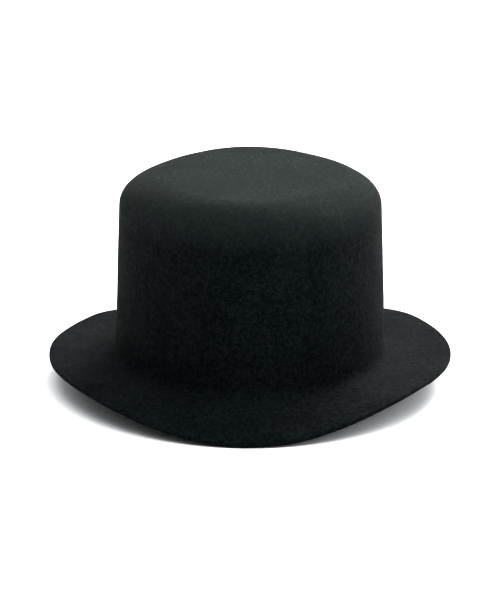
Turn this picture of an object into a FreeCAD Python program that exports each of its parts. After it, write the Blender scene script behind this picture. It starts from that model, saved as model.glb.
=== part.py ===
"""A tall-crowned felt top hat with a raw-edged brim, as an assembly of its separate pieces.

Units are millimetres. +Z is up, -Y is the front of the hat, +X is the wearer's left. The origin is on the
surface that the hat stands on, below the middle of the brim.
"""
import FreeCAD, Part
import math
import os
import Sketcher

Vector = FreeCAD.Vector
Rotation = FreeCAD.Rotation
UP = Vector(0, 0, 1)

# The driving dimensions: name, value, what it is.
DIMENSIONS = [
    ("felt_thickness", 2.5, "thickness of the blocked wool felt"),
    ("total_height", 134.9, "from the standing surface to the tip"),
    ("crown_half_width", 87.0, "outside of the crown wall at its foot, side to side"),
    ("crown_half_length", 103.0, "outside of the crown wall at its foot, front to back"),
    ("crown_foot", 17.6, "height at which the two crown sizes hold"),
    ("wall_lean", 0.034, "how far the wall leans in for each millimetre of height"),
    ("shoulder_side", 39.0, "width of the rounded shoulder at the sides"),
    ("shoulder_end", 15.5, "width of the rounded shoulder at front and back"),
    ("shoulder_drop", 20.5, "height of the rounded shoulder"),
    ("shoulder_power", 2.35, "how square the shoulder's section is: 2 is an ellipse, more is squarer"),
    ("diagonal_hollow", 0.018, "share by which the tip's oval is narrower on its diagonals"),
    ("hollow_start", 76.0, "height at which that narrowing starts"),
    ("break_radius", 6.0, "radius on top where the crown turns into the brim"),
    ("brim_half_width", 129.7, "brim, side to side"),
    ("brim_half_length", 150.0, "brim, front to back"),
    ("brim_side_height", 17.6, "underside of the brim above the table at the sides"),
    ("bend_start", 55.0, "distance from the middle at which the brim starts to dip"),
    ("bend_power", 2.7, "how the dip steepens towards the front and back edges"),
    ("leather_gap", 1.5, "from the felt wall to the sweatband leather"),
    ("leather_thickness", 0.9, "thickness of the sweatband leather"),
    ("leather_foot", 21.6, "lower edge of the leather"),
    ("leather_height", 48.0, "height of the leather strip"),
    ("joint_gap", 0.4, "gap between the leather's two ends at the back"),
    ("reed_radius", 0.9, "radius of the plastic reed"),
    ("reed_tape_radius", 1.35, "outside radius of the tape wrapped round the reed"),
    ("reed_height", 20.1, "height of the reed's centre line"),
    ("reed_clearance", 0.02, "between the reed and the tape wrapped round it"),
    ("flange_thickness", 0.3, "thickness of the reed tape's flange, behind the leather"),
    ("flange_overlap", 5.4, "height of that flange above the leather's lower edge"),
    ("backing_width", 14.0, "width of the tape behind the leather's joint"),
    ("backing_thickness", 0.35, "thickness of that tape"),
    ("backing_foot", 1.0, "from the flange up to that tape"),
    ("backing_head", 1.5, "from that tape up to the leather's upper edge"),
    ("cloth_clearance", 0.05, "between the leather and the tapes and tag that lie on it"),
    ("window_reach", 40.0, "depth of the cutters that pick out a stretch of an oval strip"),
    ("window_margin", 2.0, "how far those cutters stand out above and below the strip"),
    ("lining_thickness", 0.3, "thickness of the satin"),
    ("lining_gap", 0.4, "from the felt wall to the side lining"),
    ("lining_foot", 46.0, "lower edge of the side lining, behind the leather"),
    ("lining_rise", 1.0, "how far above the leather the side lining starts to turn in"),
    ("lining_waist", 100.0, "height at which the side lining turns in"),
    ("lining_waist_half_width", 77.0, "side lining at that height"),
    ("lining_seam", 124.5, "height of the seam between side and tip lining"),
    ("lining_seam_half_width", 68.0, "side lining at that seam"),
    ("tip_clearance", 0.1, "from the side lining's upper edge up to the tip lining"),
    ("oval_difference", 16.0, "how much longer than wide every half-oval is"),
    ("piping_radius", 0.9, "radius of the piping in that seam"),
    ("piping_gap", 0.5, "from the side lining's inner face to the piping"),
    ("thread_radius", 0.28, "radius of the sewing thread"),
    ("thread_clearance", 0.04, "between a stitch and what it lies on"),
    ("zigzag_count", 132, "stitches between leather and reed tape"),
    ("zigzag_foot", 0.7, "from the leather's lower edge up to the zigzag"),
    ("zigzag_rise", 2.2, "height of one zigzag stitch"),
    ("zigzag_share", 0.78, "share of its pitch that one zigzag stitch takes up"),
    ("sewing_in_count", 76, "stitches that hold the reed tape to the felt"),
    ("sewing_in_length", 3.2, "length of one of those stitches"),
    ("sewing_in_rise", 2.4, "height of those stitches above the leather's lower edge"),
    ("joint_stitch_count", 11, "crosses that close the leather's joint"),
    ("joint_stitch_width", 3.6, "width of one cross"),
    ("joint_stitch_share", 0.8, "share of its pitch that one cross takes up"),
    ("joint_stitch_margin", 3.0, "from the last cross to the leather's upper edge"),
    ("lining_stitch_count", 110, "stitches of the seam below the piping"),
    ("lining_stitch_length", 2.5, "length of one of those stitches"),
    ("lining_stitch_drop", 1.6, "from the piping down to those stitches"),
    ("lining_stitch_clearance", 0.13, "between those stitches and the side lining, which slopes there"),
    ("ribbon_width", 5.0, "width of the bow's ribbon"),
    ("ribbon_thickness", 0.35, "thickness of the bow's ribbon"),
    ("bow_loop_length", 12.0, "one loop, from the knot to its end"),
    ("bow_loop_depth", 2.6, "depth of one loop"),
    ("bow_tail_length", 10.0, "how far the tails hang below the knot's middle"),
    ("tail_root_gap", 0.7, "from the knot's end to the tails' upper end"),
    ("tail_root_inset", 0.2, "by how much the tails are narrower than the ribbon where they start"),
    ("bow_height", 33.0, "height of the knot's middle"),
    ("bow_gap", 1.4, "from the leather to the bow"),
    ("knot_width", 4.4, "width of the knot"),
    ("knot_wall", 0.5, "thickness of the ribbon wrapped round the knot"),
    ("knot_clearance", 0.1, "between the knot and what it wraps"),
    ("size_tag_width", 18.0, "size tag, along the leather"),
    ("size_tag_height", 10.0, "size tag, up the leather"),
    ("size_tag_thickness", 0.25, "thickness of the size tag"),
    ("size_tag_middle", 38.0, "distance of the size tag's middle from the back joint"),
    ("size_tag_foot", 44.0, "lower edge of the size tag"),
    ("tag_stitch_length", 2.0, "one stitch of the size tag"),
    ("tag_stitch_inset", 1.1, "from the size tag's edge to its stitches"),
    ("tag_stitch_clearance", 0.1, "between those stitches and the tag"),
    ("care_label_width", 24.0, "care label, along its sewn edge"),
    ("care_label_length", 34.0, "care label, down from its sewn edge"),
    ("care_label_thickness", 0.4, "care label, folded double"),
    ("care_label_inset", 3.9, "from the lining seam to the label's middle"),
    ("care_label_top", 123.2, "height of its sewn edge, which it swings about"),
]

# Outer corner, notch and inner corner of a tail: out and down, as shares of its length.
TAIL_END = ((0.95, 0.72), (0.7, 0.7), (0.5, 1.0))
HOLLOW_SHARE = 0.8  # a loop that keeps more of its volume than this isn't hollow
SLOPE_STEP = 0.05  # distance over which the brim's slope is measured
BEHIND_LEATHER = "[leather_gap] - [cloth_clearance]"
REED_PATH = "[leather_gap] + [leather_thickness] / 2"
SAMPLES = 48  # points on each oval of the felt
SHOULDER_STEPS = 7
BREAK_STEPS = 5
BRIM_STEPS = 6
WALL_STEPS = 6

doc = FreeCAD.newDocument("top_hat")
sheet = doc.addObject("Spreadsheet::Sheet", "Dimensions")
for row, (name, value, meaning) in enumerate(DIMENSIONS, start=1):
    sheet.set(f"A{row}", name)
    sheet.set(f"B{row}", str(value))
    sheet.set(f"C{row}", meaning)
    sheet.setAlias(f"B{row}", name)
doc.recompute()

sub_parts = []


def size(name):
    """The value of one cell of the sheet."""
    return float(sheet.get(name))


def cells(formula):
    """A formula over cell names as an expression that refers to the sheet."""
    for name in sorted((row[0] for row in DIMENSIONS), key=len, reverse=True):
        formula = formula.replace("[" + name + "]", "Dimensions." + name)
    return formula


def bind(thing, **formulas):
    """Binds properties to formulas over cells, such as Length="[crown_foot] + 2"."""
    for prop, formula in formulas.items():
        thing.setExpression(prop.replace("__", "."), cells(formula))


def keep(thing, node):
    """Marks an object as a sub-part and names it."""
    thing.Label = node
    sub_parts.append(thing)
    return thing


def keep_shape(shape, node):
    """A sub-part whose shape is set by this script."""
    thing = doc.addObject("Part::Feature", node)
    thing.Shape = shape
    return keep(thing, node)


# ---------------------------------------------------------------- the blocked felt


def smooth(u):
    u = max(0.0, min(1.0, u))
    return u * u * (3 - 2 * u)


def wall_half_width(height):
    """Half-width of the outside of the crown wall at a height."""
    return size("crown_half_width") - size("wall_lean") * (height - size("crown_foot"))


def underside(y):
    """Height of the brim's underside, which dips only towards the front and back."""
    reach = size("brim_half_length") - size("bend_start")
    beyond = max(0.0, (abs(y) - size("bend_start")) / reach)
    return size("brim_side_height") * (1 - beyond ** size("bend_power"))


def brim_top(y):
    """Height of the brim's upper side, one felt thickness away at right angles."""
    slope = (underside(y + SLOPE_STEP) - underside(y - SLOPE_STEP)) / (2 * SLOPE_STEP)
    return underside(y) + size("felt_thickness") * math.sqrt(1 + slope * slope)


def oval(half_width, half_length, hollow, height_at):
    """A closed smooth wire over an oval plan; height_at gives its height at each distance y."""
    points = []
    for i in range(SAMPLES):
        turn = 2 * math.pi * i / SAMPLES
        pull = 1 - hollow * math.sin(2 * turn) ** 2
        x = half_width * math.sin(turn) * pull
        y = half_length * math.cos(turn) * pull
        points.append(Vector(x, y, height_at(y)))
    curve = Part.BSplineCurve()
    steps = [i / SAMPLES for i in range(SAMPLES + 1)]
    curve.interpolate(Points=points, PeriodicFlag=True, Parameters=steps)
    return Part.Wire([curve.toShape()])


def crown_ovals(inward):
    """The ovals of the crown from tip to foot, a distance inward from its outside."""
    centre = size("total_height") - size("shoulder_drop")
    half_width = wall_half_width(centre)
    half_length = half_width + size("oval_difference")
    rows = []
    for i in range(SHOULDER_STEPS + 1):
        angle = math.pi / 2 * (1 - i / SHOULDER_STEPS)
        out = round(math.cos(angle), 9) ** (2 / size("shoulder_power"))
        up = math.sin(angle) ** (2 / size("shoulder_power"))
        across = size("shoulder_side") - (size("shoulder_side") - inward) * out
        along = size("shoulder_end") - (size("shoulder_end") - inward) * out
        height = centre + (size("shoulder_drop") - inward) * up
        rows.append((half_width - across, half_length - along, size("diagonal_hollow"), height))
    foot = size("crown_foot") + 2 * size("break_radius") + size("felt_thickness")
    span = centre - size("hollow_start")
    for i in range(1, WALL_STEPS + 1):
        height = centre + (foot - centre) * i / WALL_STEPS
        hollow = size("diagonal_hollow") * smooth((height - size("hollow_start")) / span)
        width = wall_half_width(height) - inward
        rows.append((width, width + size("oval_difference"), hollow, height))
    return [oval(w, l, hollow, lambda y, z=z: z) for w, l, hollow, z in rows]


def brim_ovals(inward, surface):
    """The ovals from the crown's foot round the break and out to the brim's edge."""
    turn_centre = size("break_radius")
    radius = turn_centre + inward
    lift = turn_centre + (0 if inward == 0 else size("felt_thickness"))
    wires = []
    for i in range(BREAK_STEPS + 1):
        angle = math.pi / 2 * i / BREAK_STEPS
        width = size("crown_half_width") + turn_centre - radius * math.cos(angle)
        rise = lift - radius * math.sin(angle)
        length = width + size("oval_difference")
        wires.append(oval(width, length, 0, lambda y, rise=rise: surface(y) + rise))
    inner_width = size("crown_half_width") + turn_centre
    inner_length = inner_width + size("oval_difference")
    for i in range(1, BRIM_STEPS + 1):
        share = i / BRIM_STEPS
        width = inner_width + (size("brim_half_width") - inner_width) * share
        length = inner_length + (size("brim_half_length") - inner_length) * share
        wires.append(oval(width, length, 0, surface))
    return wires


def felt_body():
    """Crown and brim blocked from one piece of felt: outside skin, inside skin and the cut edge."""
    outside = crown_ovals(0) + brim_ovals(0, brim_top)
    inside = crown_ovals(size("felt_thickness")) + brim_ovals(size("felt_thickness"), underside)
    faces = list(Part.makeLoft(outside, False, False).Faces)
    faces += Part.makeLoft(inside, False, False).Faces
    faces += Part.makeLoft([outside[-1], inside[-1]], False, True).Faces
    faces += [Part.Face(outside[0]), Part.Face(inside[0])]
    shell = Part.makeShell(faces)
    shell.sewShape()
    solid = Part.makeSolid(shell)
    if solid.Volume < 0:
        solid.reverse()
    return keep_shape(solid, "felt_body")


# ---------------------------------------------------------------- oval pieces inside the crown


def ellipse(name, half_width, height):
    """An ellipse, longer front to back, at a height. Both sizes are formulas over cells."""
    thing = doc.addObject("Part::Ellipse", name)
    thing.Placement = FreeCAD.Placement(Vector(), Rotation(UP, 90))
    bind(thing, MajorRadius=f"{half_width} + [oval_difference]", MinorRadius=half_width)
    bind(thing, Placement__Base__z=height)
    return thing


def wall_inside(height, gap):
    """Formula for the half-width of an oval a gap inside the felt's inner wall, at a height."""
    lean = f"[wall_lean] * ({height} - [crown_foot])"
    return f"[crown_half_width] - {lean} - [felt_thickness] - ({gap})"


def cone(name, rows):
    """A solid through ellipses. Each row is the formulas for half-width and height."""
    thing = doc.addObject("Part::Loft", name)
    thing.Sections = [ellipse(f"{name}_oval_{i}", w, z) for i, (w, z) in enumerate(rows)]
    thing.Solid = True
    thing.Ruled = True
    return thing


def ring(name, rows, thickness):
    """An oval strip: the solid through the rows less the one a thickness inside it."""
    thing = doc.addObject("Part::Cut", name)
    thing.Base = cone(name + "_outside", rows)
    thing.Tool = cone(name + "_inside", [(f"{w} - ({thickness})", z) for w, z in rows])
    return thing


def block(name, width, depth, height, x, y, z):
    """A box whose sizes and lowest corner are formulas over cells."""
    thing = doc.addObject("Part::Box", name)
    bind(thing, Length=width, Width=depth, Height=height)
    bind(thing, Placement__Base__x=x, Placement__Base__y=y, Placement__Base__z=z)
    return thing


def boolean(kind, name, base, tool):
    thing = doc.addObject("Part::" + kind, name)
    thing.Base = base
    thing.Tool = tool
    return thing


def tube_round(name, half_width, height, radius):
    """A round cord that follows an ellipse; it starts and ends at the back."""
    path = ellipse(name + "_path", half_width, height)
    section = doc.addObject("Part::Circle", name + "_section")
    section.Placement = FreeCAD.Placement(Vector(), Rotation(Vector(0, 1, 0), 90))
    bind(section, Radius=radius, Placement__Base__z=height)
    bind(section, Placement__Base__y=f"{half_width} + [oval_difference]")
    thing = doc.addObject("Part::Sweep", name)
    thing.Sections = [section]
    thing.Spine = (path, ["Edge1"])
    thing.Solid = True
    thing.Frenet = True
    return thing


def stretch(name, strip, width, middle, foot, height):
    """The stretch of an oval strip at its back that a box of this width picks out."""
    window = block(
        name + "_window", width, "2 * [window_reach]", f"{height} + 2 * [window_margin]",
        f"{middle} - {width} / 2", "[crown_half_length] - [window_reach]",
        f"{foot} - [window_margin]",
    )
    return strip, window


def sweatband():
    """The leather strip with its butt joint at the back, and the tape behind that joint."""
    foot, height = "[leather_foot]", "[leather_height]"
    top = f"({foot} + {height})"
    rows = [(wall_inside(z, "[leather_gap]"), z) for z in (foot, top)]
    strip = ring("leather_strip", rows, "[leather_thickness]")
    pair = stretch("joint", strip, "[joint_gap]", "0", foot, height)
    keep(boolean("Cut", "leather", *pair), "sweatband_leather")
    low = f"({foot} + [flange_overlap] + [backing_foot])"
    high = f"({top} - [backing_head])"
    rows = [(wall_inside(z, BEHIND_LEATHER + " - [backing_thickness]"), z) for z in (low, high)]
    tape = ring("backing_strip", rows, "[backing_thickness]")
    pair = stretch("backing", tape, "[backing_width]", "0", foot, height)
    keep(boolean("Common", "backing", *pair), "joint_backing_tape")


def reed():
    """The plastic reed at the sweatband's lower edge, and the tape wrapped round it.

    The tape's flange goes up behind the leather, which is sewn to it.
    """
    path = wall_inside("[reed_height]", REED_PATH)
    keep(tube_round("reed", path, "[reed_height]", "[reed_radius]"), "sweatband_reed")
    wrap = tube_round("wrap", path, "[reed_height]", "[reed_tape_radius]")
    core = tube_round("wrap_core", path, "[reed_height]", "[reed_radius] + [reed_clearance]")
    foot = "([reed_height] + [reed_radius])"
    head = "([leather_foot] + [flange_overlap])"
    rows = [(wall_inside(z, BEHIND_LEATHER + " - [flange_thickness]"), z) for z in (foot, head)]
    flange = ring("reed_flange", rows, "[flange_thickness]")
    wrapped = boolean("Cut", "reed_wrap", wrap, core)
    keep(boolean("Fuse", "reed_wrap_and_flange", wrapped, flange), "reed_tape")


def lining():
    """The satin lining: a side strip, an oval tip, and the piping in the seam between them."""
    clear_of_leather = "([leather_foot] + [leather_height] + [lining_rise])"
    rows = [
        (wall_inside("[lining_foot]", "[lining_gap]"), "[lining_foot]"),
        (wall_inside(clear_of_leather, "[lining_gap]"), clear_of_leather),
        ("[lining_waist_half_width]", "[lining_waist]"),
        ("[lining_seam_half_width]", "[lining_seam]"),
    ]
    keep(ring("side_lining", rows, "[lining_thickness]"), "lining_side")
    tip_height = "([lining_seam] + [tip_clearance])"
    rows = [
        ("[lining_seam_half_width]", tip_height),
        ("[lining_seam_half_width]", f"{tip_height} + [lining_thickness]"),
    ]
    keep(cone("tip_lining", rows), "lining_tip")
    width = "[lining_seam_half_width] - [piping_radius] - [lining_thickness] - [piping_gap]"
    height = "[lining_seam] - [piping_radius]"
    keep(tube_round("piping", width, height, "[piping_radius]"), "lining_piping")


# ---------------------------------------------------------------- sewing thread


def stitch(start, end):
    """One straight stitch of thread between two points."""
    run = end - start
    return Part.makeCylinder(size("thread_radius"), run.Length, start, run)


def on_oval(half_width, turn, height):
    """The point of an oval at an angle from the back joint."""
    half_length = half_width + size("oval_difference")
    return Vector(half_width * math.sin(turn), half_length * math.cos(turn), height)


def inner_wall(height, gap):
    """Half-width of an oval a gap inside the felt's inner wall."""
    return wall_half_width(height) - size("felt_thickness") - gap


def leather_face(height, stand_off):
    """Half-width of an oval a stand-off in front of the leather's inner face."""
    return inner_wall(height, size("leather_gap") + size("leather_thickness") + stand_off)


def row_of_stitches(node, count, ends):
    """A node of separate stitches; ends gives the two end points of each, or nothing."""
    found = [ends(2 * math.pi * (i + 0.5) / count, i) for i in range(count)]
    stitches = [stitch(*pair) for pair in found if pair]
    keep_shape(Part.makeCompound(stitches), node)


def thread():
    """The five rows of sewing in the sweatband and the lining."""
    lay = size("thread_radius") + size("thread_clearance")
    low = size("leather_foot") + size("zigzag_foot")
    count = int(size("zigzag_count"))
    half_pitch = math.pi / count

    def zigzag(turn, i):
        heights = (low, low + size("zigzag_rise"))
        first, last = heights if i % 2 else heights[::-1]
        reach = size("zigzag_share") * half_pitch
        return (
            on_oval(leather_face(first, lay), turn - reach, first),
            on_oval(leather_face(last, lay), turn + reach, last),
        )

    row_of_stitches("reed_zigzag_stitching", count, zigzag)

    half_length = size("sewing_in_length") / 2
    seat = size("leather_foot") + size("sewing_in_rise")
    gap = size("leather_gap") - size("flange_thickness") - 2 * size("thread_radius")

    def sewing_in(turn, i):
        path = inner_wall(seat, gap)
        reach = half_length / (path + size("oval_difference") / 2)
        return on_oval(path, turn - reach, seat), on_oval(path, turn + reach, seat)

    row_of_stitches("sewing_in_stitches", int(size("sewing_in_count")), sewing_in)

    height = size("lining_seam") - 2 * size("piping_radius") - size("lining_stitch_drop")
    drop = size("lining_seam") - size("lining_waist")
    slope = (size("lining_waist_half_width") - size("lining_seam_half_width")) / drop
    width = size("lining_seam_half_width") + slope * (size("lining_seam") - height)
    width -= size("lining_thickness") + lay + size("lining_stitch_clearance")

    def seam(turn, i):
        reach = size("lining_stitch_length") / 2 / (width + size("oval_difference") / 2)
        return on_oval(width, turn - reach, height), on_oval(width, turn + reach, height)

    row_of_stitches("lining_seam_stitching", int(size("lining_stitch_count")), seam)

    crosses = []
    count = int(size("joint_stitch_count"))
    first = size("bow_height") + size("ribbon_width")
    last = size("leather_foot") + size("leather_height") - size("joint_stitch_margin")
    pitch = (last - first) / count
    for i in range(count):
        foot, head = first + i * pitch, first + (i + size("joint_stitch_share")) * pitch
        half = size("joint_stitch_width") / 2
        above = lay + 2 * size("thread_radius") + size("thread_clearance")
        for side, lift in ((-1, lay), (1, above)):
            start_turn = side * half / leather_face(foot, lift)
            crosses.append(stitch(
                on_oval(leather_face(foot, lift), start_turn, foot),
                on_oval(leather_face(head, lift), -start_turn, head),
            ))
    keep_shape(Part.makeCompound(crosses), "joint_cross_stitching")


# ---------------------------------------------------------------- bow, tag and label


def sketch_on(body, name, role):
    """A sketch of a body on one of the body's own origin planes."""
    sketch = body.newObject("Sketcher::SketchObject", name)
    plane = next(feature for feature in body.Origin.OriginFeatures if feature.Role == role)
    sketch.AttachmentSupport = [(plane, "")]
    sketch.MapMode = "FlatFace"
    return sketch


def value_of(sketch, formula):
    return float(sketch.evalExpression(cells(formula)))


def pin(sketch, geometry, end, x, y):
    """Holds a point of a sketch at formulas for its distances from the sketch's origin."""
    for kind, formula in (("DistanceX", x), ("DistanceY", y)):
        distance = Sketcher.Constraint(kind, -1, 1, geometry, end, value_of(sketch, formula))
        index = sketch.addConstraint(distance)
        sketch.setExpression(f"Constraints[{index}]", cells(formula))


def outline(sketch, corners):
    """Straight lines through the corners, each a pair of formulas, and back to the first."""
    points = [Vector(value_of(sketch, x), value_of(sketch, y), 0) for x, y in corners]
    count = len(points)
    for i in range(count):
        sketch.addGeometry(Part.LineSegment(points[i], points[(i + 1) % count]), False)
    for i in range(count):
        sketch.addConstraint(Sketcher.Constraint("Coincident", i, 2, (i + 1) % count, 1))
        pin(sketch, i, 1, *corners[i])


def loop_outline(sketch, inset, side):
    """A flattened loop seen from above: straight sides and a half-circle at its outer end."""
    radius = f"([bow_loop_depth] / 2 - {inset})"
    centre = f"{side} * ([bow_loop_length] - [bow_loop_depth] / 2)"
    corners = [(centre, radius), (f"{side} * {inset}", radius)]
    corners += [(x, "-1 * " + y) for x, y in corners[::-1]]
    points = [Vector(value_of(sketch, x), value_of(sketch, y), 0) for x, y in corners]
    for i in range(3):
        sketch.addGeometry(Part.LineSegment(points[i], points[i + 1]), False)
    middle = Vector(value_of(sketch, centre), 0, 0)
    outermost = middle + Vector(side * value_of(sketch, radius), 0, 0)
    sketch.addGeometry(Part.Arc(points[3], outermost, points[0]), False)
    first, last = (1, 2) if side > 0 else (2, 1)
    for i in range(2):
        sketch.addConstraint(Sketcher.Constraint("Coincident", i, 2, i + 1, 1))
    sketch.addConstraint(Sketcher.Constraint("Coincident", 2, 2, 3, first))
    sketch.addConstraint(Sketcher.Constraint("Coincident", 3, last, 0, 1))
    for i in range(3):
        pin(sketch, i, 1, *corners[i])
    pin(sketch, 2, 2, *corners[3])


def bow():
    """The bow that hides the foot of the leather's joint: its ribbon, and the knot round it."""
    body = doc.addObject("PartDesign::Body", "bow")
    for side, word in ((-1, "right"), (1, "left")):
        outer = sketch_on(body, word + "_loop_outline", "XY_Plane")
        loop_outline(outer, "0", side)
        loop = body.newObject("PartDesign::Pad", word + "_loop")
        loop.Profile = outer
        bind(loop, Length="[ribbon_width]")
        doc.recompute()
        solid_volume = body.Shape.Volume
        inner = sketch_on(body, word + "_loop_hollow_outline", "XY_Plane")
        loop_outline(inner, "[ribbon_thickness]", side)
        hollow = body.newObject("PartDesign::Pocket", word + "_loop_hollow")
        hollow.Profile = inner
        hollow.Type = "ThroughAll"
        hollow.Reversed = True
        doc.recompute()
        if body.Shape.Volume > HOLLOW_SHARE * solid_volume:
            raise RuntimeError(f"the {word} loop of the bow is not hollow")
    # Each tail leaves the knot at its open side and hangs down and out to a notched end.
    exit_x = "([knot_width] / 2 + [tail_root_gap])"
    exit_y = "([ribbon_width] / 2 - [tail_root_inset])"
    end = [(f"{out} * [bow_tail_length]", f"-{down} * [bow_tail_length]") for out, down in TAIL_END]
    side = [(exit_x, exit_y), *end, (exit_x, "-1 * " + exit_y)]
    tails = sketch_on(body, "tail_outline", "XZ_Plane")
    outline(tails, side + [("-1 * " + x, y) for x, y in side[::-1]])
    bind(tails, AttachmentOffset__Base__y="[ribbon_width] / 2")
    tail = body.newObject("PartDesign::Pad", "tails")
    tail.Profile = tails
    bind(tail, Length="[ribbon_thickness]")
    stand_off = "([leather_gap] + [leather_thickness] + [bow_gap])"
    inner_face = wall_inside("[bow_height]", stand_off) + " + [oval_difference]"
    middle = inner_face + " - [bow_loop_depth] / 2"
    bind(body, Placement__Base__y=middle, Placement__Base__z="[bow_height] - [ribbon_width] / 2")
    keep(body, "bow_ribbon")

    depth = "([bow_loop_depth] + 2 * [knot_clearance])"
    height = "([ribbon_width] + 2 * [knot_clearance])"
    through = "([knot_width] + [window_margin])"
    hole = block(
        "knot_hole", through, depth, height,
        f"-{through} / 2", f"{middle} - {depth} / 2", f"[bow_height] - {height} / 2",
    )
    depth, height = (f"({inside} + 2 * [knot_wall])" for inside in (depth, height))
    outside = block(
        "knot_outside", "[knot_width]", depth, height,
        "-[knot_width] / 2", f"{middle} - {depth} / 2", f"[bow_height] - {height} / 2",
    )
    keep(boolean("Cut", "knot", outside, hole), "bow_knot")


def size_tag():
    """A blank woven size tag laid on the leather beside the joint, with a stitch at each corner."""
    foot, height = "[size_tag_foot]", "[size_tag_height]"
    stand_off = "[leather_gap] + [leather_thickness] + [cloth_clearance]"
    rows = [(wall_inside(z, stand_off), z) for z in (foot, f"({foot} + {height})")]
    strip = ring("size_tag_strip", rows, "[size_tag_thickness]")
    pair = stretch("size_tag", strip, "[size_tag_width]", "-[size_tag_middle]", foot, height)
    keep(boolean("Common", "size_tag_strip_end", *pair), "size_tag")
    lay = size("size_tag_thickness") + size("thread_radius") + size("tag_stitch_clearance")
    inset, length = size("tag_stitch_inset"), size("tag_stitch_length")
    low = size("size_tag_foot") + inset
    edge = size("size_tag_width") / 2 - inset
    stitches = []
    for height in (low, low + size("size_tag_height") - 2 * inset):
        width = leather_face(height, lay)
        for start in (-edge, edge - length):
            places = (start - size("size_tag_middle"), start + length - size("size_tag_middle"))
            turns = [math.asin(x / width) for x in places]
            stitches.append(stitch(*(on_oval(width, turn, height) for turn in turns)))
    keep_shape(Part.makeCompound(stitches), "size_tag_stitches")


def care_label():
    """A blank care label that hangs from the lining seam on the wearer's left."""
    keep(block(
        "label", "[care_label_thickness]", "[care_label_width]", "[care_label_length]",
        "[lining_seam_half_width] - [care_label_inset] - [care_label_thickness] / 2",
        "-[care_label_width] / 2", "[care_label_top] - [care_label_length]",
    ), "care_label")


felt_body()
sweatband()
reed()
lining()
thread()
bow()
size_tag()
care_label()
doc.recompute()

for thing in doc.Objects:
    if "Invalid" in thing.State or "Error" in thing.State:
        raise RuntimeError(f"{thing.Label} failed: {thing.State}")
os.makedirs("parts", exist_ok=True)
for thing in sub_parts:
    shape = thing.Shape
    if shape.isNull() or not shape.isValid() or not shape.Solids:
        raise RuntimeError(f"{thing.Label} has no valid solid")
    shape.exportStep(os.path.join("parts", thing.Label + ".step"))
    print(f"{thing.Label:24s} solids {len(shape.Solids):4d} volume {shape.Volume:12.1f} mm3")
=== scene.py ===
"""The looks of a black wool-felt top hat: blocked felt, leather sweatband, satin lining, bow and labels.

An angle round the hat, called a turn, starts at the back and goes towards the wearer's left, +X.
"""
import math

import bmesh
import bpy
import numpy as np
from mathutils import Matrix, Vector, noise


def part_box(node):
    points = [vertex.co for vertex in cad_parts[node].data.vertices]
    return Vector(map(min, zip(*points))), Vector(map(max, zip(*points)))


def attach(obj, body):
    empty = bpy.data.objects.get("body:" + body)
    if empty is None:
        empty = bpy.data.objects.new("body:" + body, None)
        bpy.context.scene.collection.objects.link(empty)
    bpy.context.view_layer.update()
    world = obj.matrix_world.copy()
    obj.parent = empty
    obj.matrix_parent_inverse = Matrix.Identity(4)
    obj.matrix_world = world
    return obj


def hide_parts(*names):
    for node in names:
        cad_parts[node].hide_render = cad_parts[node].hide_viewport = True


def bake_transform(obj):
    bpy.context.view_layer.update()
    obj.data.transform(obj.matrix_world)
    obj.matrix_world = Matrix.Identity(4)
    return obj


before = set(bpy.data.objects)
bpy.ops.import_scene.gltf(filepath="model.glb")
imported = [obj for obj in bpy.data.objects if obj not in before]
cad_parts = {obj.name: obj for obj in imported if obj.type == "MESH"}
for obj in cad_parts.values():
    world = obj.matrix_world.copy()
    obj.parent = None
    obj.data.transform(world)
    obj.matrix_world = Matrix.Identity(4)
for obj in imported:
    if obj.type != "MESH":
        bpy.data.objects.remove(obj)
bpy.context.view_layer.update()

MM = 0.001
TAU = 2 * math.pi
HAT = "hat"


def box_mm(node):
    """Lowest and highest corner of a CAD node, in millimetres."""
    low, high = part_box(node)
    return low / MM, high / MM


# ------------------------------------------------------------------ driving sizes

felt_low, felt_high = box_mm("felt_body")
leather_low, leather_high = box_mm("sweatband_leather")
reed_low, reed_high = box_mm("sweatband_reed")

BRIM_HALF_WIDTH = (felt_high.x - felt_low.x) / 2
BRIM_HALF_LENGTH = (felt_high.y - felt_low.y) / 2
TOTAL_HEIGHT = felt_high.z
FELT = 2.5  # thickness of the felt
CROWN_HALF_WIDTH = 87.0  # outside of the crown's foot
OVAL_DIFFERENCE = 16.0  # half-length less half-width of every oval of the crown
CROWN_FOOT = 17.6
WALL_LEAN = 0.034  # how much narrower each side gets for each millimetre up
TIP_DOME, TIP_SINK = 0.55, 0.35  # the dome's height, and how far its rim lies below the tip's height
# The shoulder's reach in from the side and from the end, its drop, and its power, 2 for an ellipse.
SHOULDER_SIDE, SHOULDER_END, SHOULDER_DROP, SHOULDER_POWER = 33.5, 14.0, 20.5, 2.35
FRONT_WIDER, FRONT_DEEPER, FRONT_SOFTER = 10.0, 8.0, 0.3  # how the shoulder differs at the front
DIAGONAL_HOLLOW, HOLLOW_START = 0.018, 76.0  # the oval's flattening at its diagonals, from this height up
SIDE_SWELL = 0.6  # how far the crown stands out on +X
BREAK_RADIUS = 4.8  # of the curve from the crown's foot into the brim
EDGE_RADIUS = 0.75  # of the raw-cut edge's corners
BRIM_SIDE_HEIGHT, BEND_START, BEND_POWER = 17.6, 55.0, 2.7  # the brim is level as far as BEND_START
LEATHER_GAP, LEATHER = 1.5, 0.9  # the room behind the leather, and its thickness
LEATHER_FOOT, LEATHER_TOP = leather_low.z, leather_high.z
LEATHER_RADIUS = 89.0  # mean radius of the leather's oval, which turns a length round it into an angle
REED_MIDDLE = (reed_low.z + reed_high.z) / 2
TAPE_GAP, TAPE = 1.15, 0.16  # the reed tape's flange, behind the leather
TAPE_RADIUS, TAG_RADIUS = 82.0, 82.5  # half-widths that turn x into an angle on the tape and the tag
SEAM_HEIGHT, SEAM_HALF_WIDTH = 124.5, 68.0  # where the side lining meets the tip lining
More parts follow.
